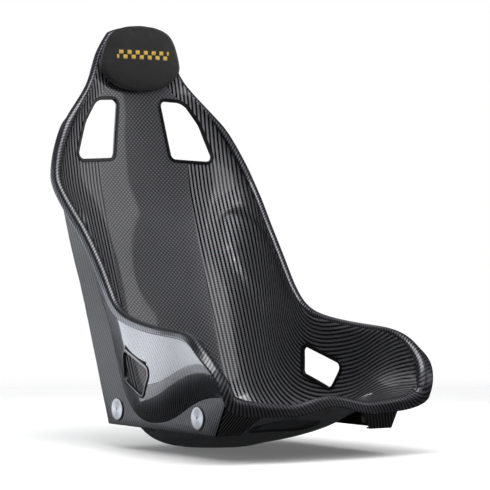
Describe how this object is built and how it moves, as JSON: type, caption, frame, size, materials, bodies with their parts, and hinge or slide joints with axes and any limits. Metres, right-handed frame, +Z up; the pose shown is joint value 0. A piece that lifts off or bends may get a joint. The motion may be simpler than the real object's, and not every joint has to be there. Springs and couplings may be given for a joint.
{
  "type": "racing seat",
  "caption": "One-piece carbon fibre bucket racing seat with a rolled rim, harness and lap belt slots, side mounting boxes with turned bobbins, and a suede head pad that pulls off.",
  "frame": {"origin": "centre of the bounding box at its base, on the flat of the belly", "axes": "+Z up, the seat faces -Y, +X is the left of the occupant; x = 0 is the plane of symmetry"},
  "size_m": [0.501, 0.7332, 0.841],
  "materials": {
    "carbon": "clear-coated carbon fibre twill laminate",
    "trim": "gloss black moulded edging",
    "aluminium": "turned, satin",
    "laminate": "glass fibre laminate, bonded",
    "suede": "charcoal synthetic suede",
    "foam": "closed-cell foam",
    "board": "moulded backing board",
    "thread": "yellow embroidery thread",
    "tape": "hook-and-loop tape"
  },
  "bodies": {
    "seat": {"backing_plate_front_left": "laminate", "backing_plate_front_right": "laminate", "backing_plate_rear_left": "laminate", "backing_plate_rear_right": "laminate", "bucket_shell": "carbon", "harness_slot_trim_left": "trim", "harness_slot_trim_right": "trim", "hook_tape_lower": "tape", "hook_tape_upper": "tape", "lap_slot_trim_left": "trim", "lap_slot_trim_right": "trim", "mounting_bobbin_front_left": "aluminium", "mounting_bobbin_front_right": "aluminium", "mounting_bobbin_rear_left": "aluminium", "mounting_bobbin_rear_right": "aluminium", "side_box_left": "carbon", "side_box_right": "carbon"},
    "head_pad": {"head_pad_badge": "thread", "head_pad_board": "board", "head_pad_cover": "suede", "head_pad_foam": "foam", "loop_tape_lower": "tape", "loop_tape_upper": "tape"}
  },
  "joints": [
    {"name": "head_pad_pull_off", "type": "slide", "parent": "seat", "child": "head_pad", "axis": [0, -1, 0], "range_m": [0, 0.06]}
  ]
}
